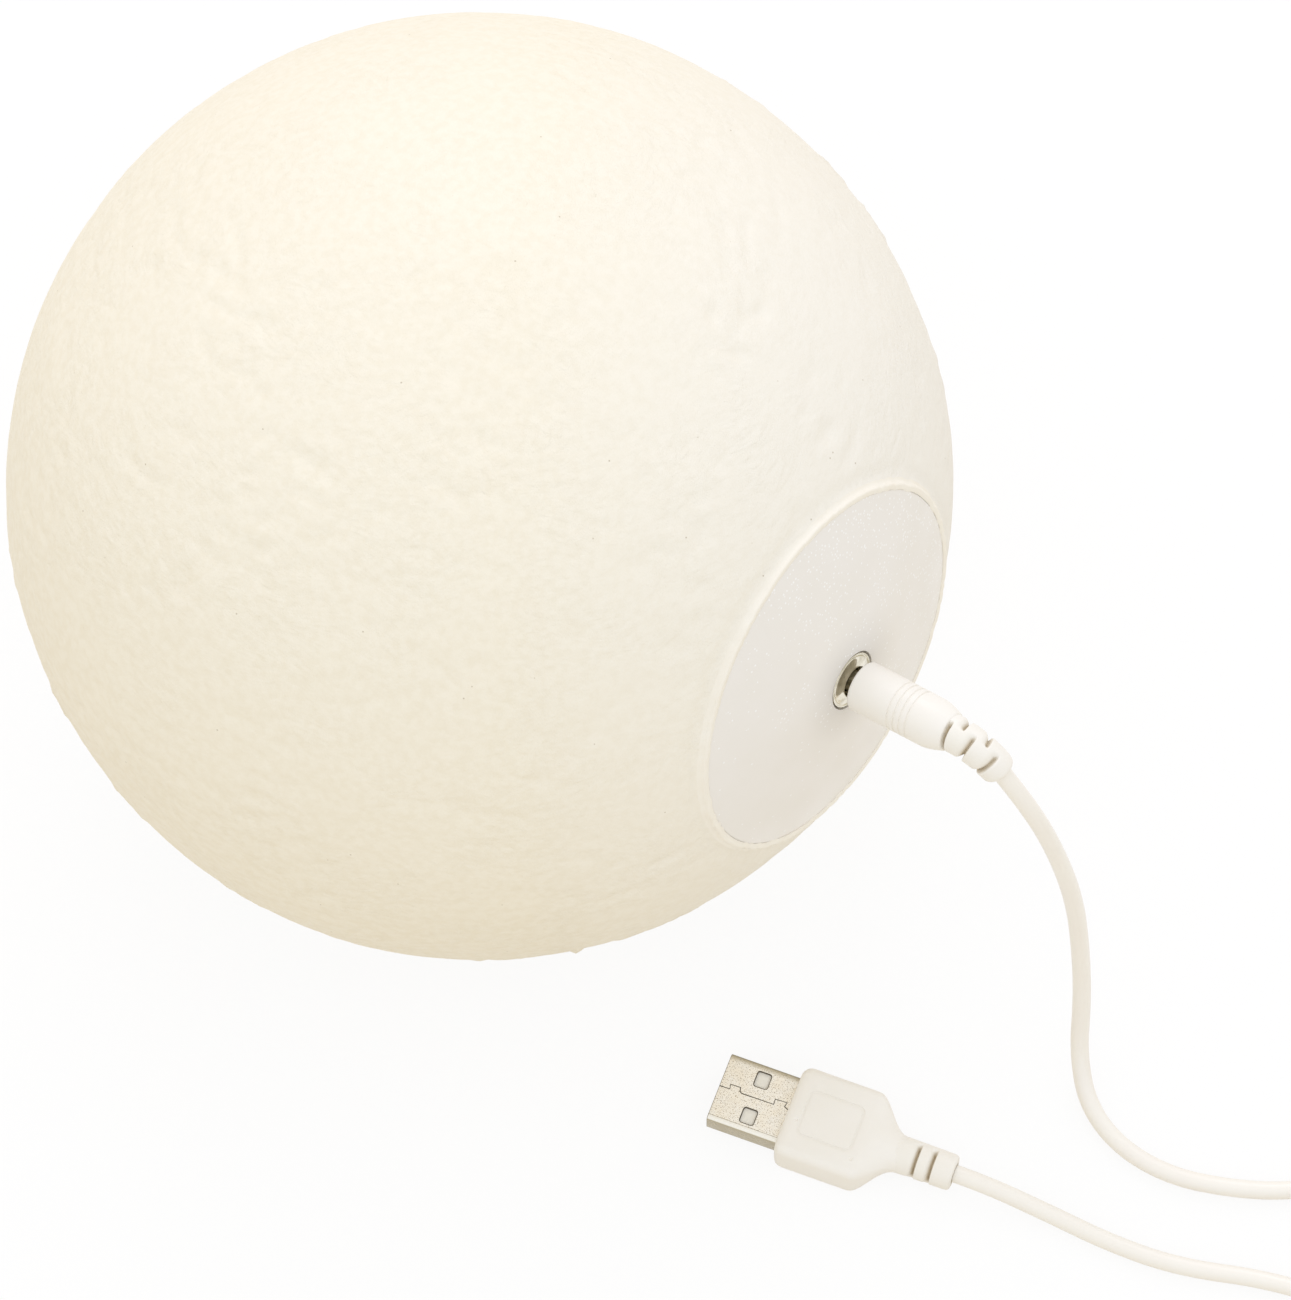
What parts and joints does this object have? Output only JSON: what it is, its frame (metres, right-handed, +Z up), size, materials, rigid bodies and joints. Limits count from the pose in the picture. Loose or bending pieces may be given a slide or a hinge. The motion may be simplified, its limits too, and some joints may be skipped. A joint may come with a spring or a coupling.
{
  "type": "moon lamp",
  "caption": "Hollow ball lamp with moon relief, lying on a table, with a snap-in base cover, a touch ring round its charging jack, and a USB charging lead plugged in.",
  "frame": {"origin": "on the table, under the middle of the ball: the centre of the small flat that the ball rests on", "axes": "+Z up; +X is the level direction that the base cover faces, and the lamp's own axis leaves the cover 15 degrees above it; +Y completes the right hand"},
  "size_m": [0.293, 0.15, 0.1494],
  "materials": {
    "moon_plastic": "printed cream plastic, matt, shallow moon relief",
    "cover_plastic": "pale grey plastic with fine glitter, satin",
    "nickel_plate": "bright nickel plate on brass",
    "steel": "zinc plated steel",
    "brass": "bare turned brass",
    "gold_contact": "gold plated contact",
    "black_plastic": "black moulded plastic",
    "white_insulator": "white moulded insulator",
    "circuit_board": "green solder mask on glass-fibre board",
    "led_board_white": "white solder mask on board",
    "led_body": "white LED package with yellow phosphor",
    "capacitor_can": "aluminium can",
    "ferrite": "dark grey ferrite",
    "cell_foil": "silver laminate pouch",
    "foam": "soft black foam tape",
    "wire_jacket": "thin PVC wire jacket",
    "cord_pvc": "soft white PVC jacket, satin",
    "moulded_pvc": "white PVC overmould, satin",
    "tie_band": "soft white silicone band"
  },
  "bodies": {
    "lamp": {"moon_shell": "moon_plastic", "base_cover": "cover_plastic", "touch_ring": "nickel_plate", "jack_nut": "nickel_plate", "touch_tag": "nickel_plate", "touch_lead": "wire_jacket", "jack_body": "black_plastic", "jack_pin": "nickel_plate", "jack_spring": "gold_contact", "jack_terminals": "nickel_plate", "main_board": "circuit_board", "touch_chip": "black_plastic", "charge_chip": "black_plastic", "capacitors": "capacitor_can", "inductor": "ferrite", "battery_socket": "white_insulator", "battery_pouch": "cell_foil", "battery_pad": "foam", "battery_leads": "wire_jacket", "led_spacers": "brass", "led_board": "led_board_white", "led_chips": "led_body", "led_screws": "steel", "led_leads": "wire_jacket"},
    "charging_lead": {"plug_sleeve": "nickel_plate", "plug_insulator": "black_plastic", "plug_contact": "gold_contact", "plug_grip": "moulded_pvc", "plug_strain_relief": "moulded_pvc", "cord_lamp_run": "cord_pvc", "cord_coil": "cord_pvc", "cord_tie": "tie_band", "cord_usb_run": "cord_pvc", "usb_strain_relief": "moulded_pvc", "usb_grip": "moulded_pvc", "usb_shell": "nickel_plate", "usb_tongue": "white_insulator", "usb_contacts": "gold_contact", "usb_carrier": "white_insulator"}
  },
  "joints": [
    {"name": "plug_pull", "type": "slide", "parent": "lamp", "child": "charging_lead", "axis": [0.9659, 0, 0.2588], "range_m": [0, 0.008]}
  ]
}
